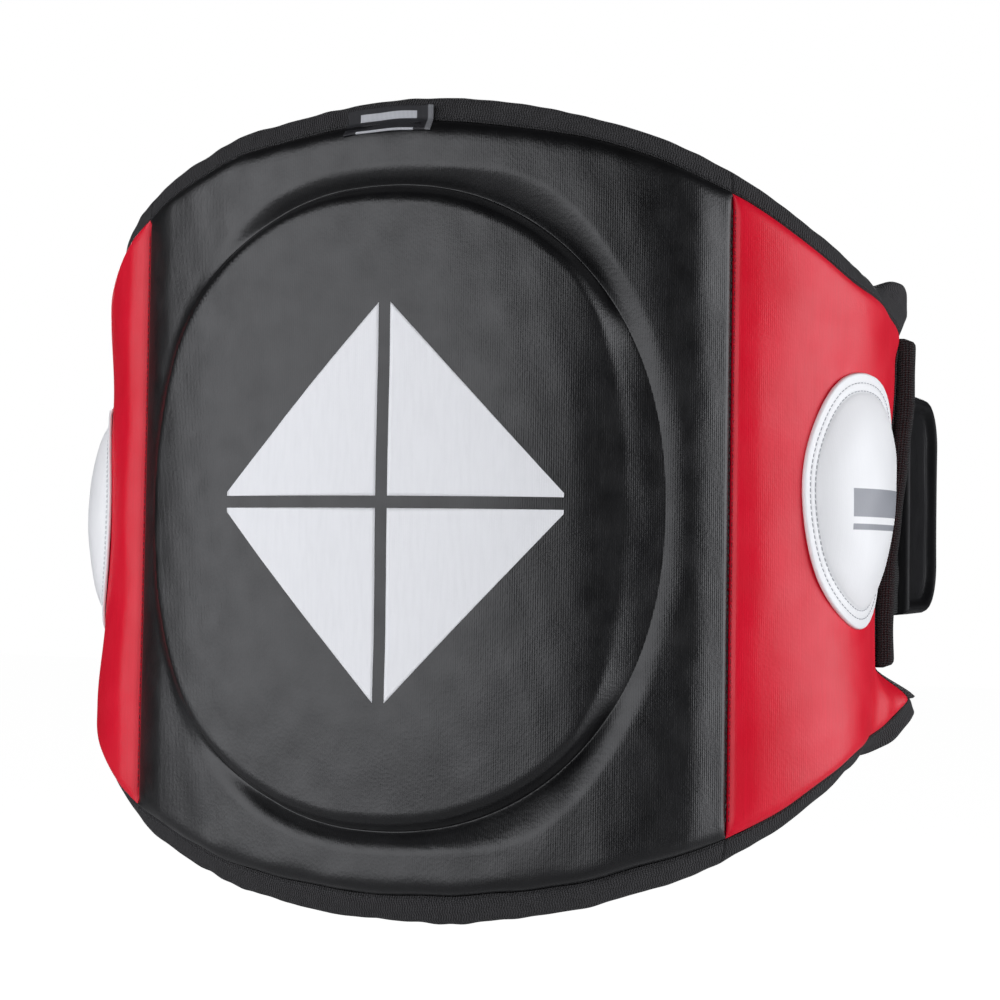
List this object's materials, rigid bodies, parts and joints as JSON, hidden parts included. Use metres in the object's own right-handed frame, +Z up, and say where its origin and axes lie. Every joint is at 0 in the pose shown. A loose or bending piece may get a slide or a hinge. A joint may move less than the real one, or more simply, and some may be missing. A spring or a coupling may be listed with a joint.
{
  "type": "trainer belly pad",
  "caption": "Curved foam body shield for a boxing trainer: black padded front, red wings with white oval targets, bound edges and touch-fastening straps.",
  "frame": {"origin": "middle of the pad's inner face, where it rests on the trainer's belly", "axes": "+Z up, +X to the wearer's left, -Y the way the front faces, +Y into the trainer"},
  "size_m": [0.4709, 0.322, 0.402],
  "materials": {
    "black_pu": "satin grained synthetic leather",
    "red_pu": "satin grained synthetic leather",
    "white_pu": "smooth synthetic leather",
    "gloss_pu": "glossy synthetic leather",
    "white_print": "screen print",
    "label_weave": "satin woven label",
    "lining": "air mesh",
    "binding_tape": "ribbed tape",
    "webbing": "woven elastic",
    "dense_foam": "closed-cell foam",
    "soft_foam": "soft foam",
    "fastener_hook": "hook tape",
    "fastener_loop": "loop tape"
  },
  "bodies": {
    "front": {"front_skin": "black_pu", "front_lining": "lining", "front_top_binding": "binding_tape", "front_bottom_binding": "binding_tape", "front_moulded_foam": "dense_foam", "front_core_foam": "soft_foam", "emblem_upper_left": "white_print", "emblem_upper_right": "white_print", "emblem_lower_left": "white_print", "emblem_lower_right": "white_print", "edge_label": "label_weave"},
    "left_wing": {"left_wing_skin": "red_pu", "left_wing_lining": "lining", "left_wing_top_binding": "binding_tape", "left_wing_bottom_binding": "binding_tape", "left_wing_moulded_foam": "dense_foam", "left_wing_core_foam": "soft_foam", "left_target_cover": "white_pu", "left_target_foam": "soft_foam", "left_end_binding": "binding_tape", "left_anchor_strip": "webbing"},
    "right_wing": {"right_wing_skin": "red_pu", "right_wing_lining": "lining", "right_wing_top_binding": "binding_tape", "right_wing_bottom_binding": "binding_tape", "right_wing_moulded_foam": "dense_foam", "right_wing_core_foam": "soft_foam", "right_target_cover": "white_pu", "right_target_foam": "soft_foam", "right_end_binding": "binding_tape", "right_anchor_strip": "webbing"},
    "tab": {"tab_elastic": "webbing", "tab_cover": "gloss_pu", "tab_foam": "soft_foam", "tab_back": "lining", "tab_patch": "fastener_hook"},
    "belt": {"belt_elastic": "webbing", "belt_cover": "gloss_pu", "belt_foam": "soft_foam", "belt_back": "lining", "belt_patch": "fastener_loop"}
  },
  "joints": [
    {"name": "left_wing_flex", "type": "hinge", "parent": "front", "child": "left_wing", "pos_m": [0.16146, -0.01216, 0], "axis": [0, 0, -1], "range_deg": [-10, 30], "stiffness_Nm_per_rad": 8},
    {"name": "right_wing_flex", "type": "hinge", "parent": "front", "child": "right_wing", "pos_m": [-0.16146, -0.01216, 0], "axis": [0, 0, 1], "range_deg": [-10, 30], "stiffness_Nm_per_rad": 8},
    {"name": "tab_fold", "type": "hinge", "parent": "left_wing", "child": "tab", "pos_m": [0.22054, 0.13489, 0], "axis": [0, 0, 1], "range_deg": [-40, 70], "stiffness_Nm_per_rad": 0.06},
    {"name": "belt_fold", "type": "hinge", "parent": "right_wing", "child": "belt", "pos_m": [-0.22054, 0.13489, 0], "axis": [0, 0, -1], "range_deg": [-60, 15], "stiffness_Nm_per_rad": 0.1}
  ]
}
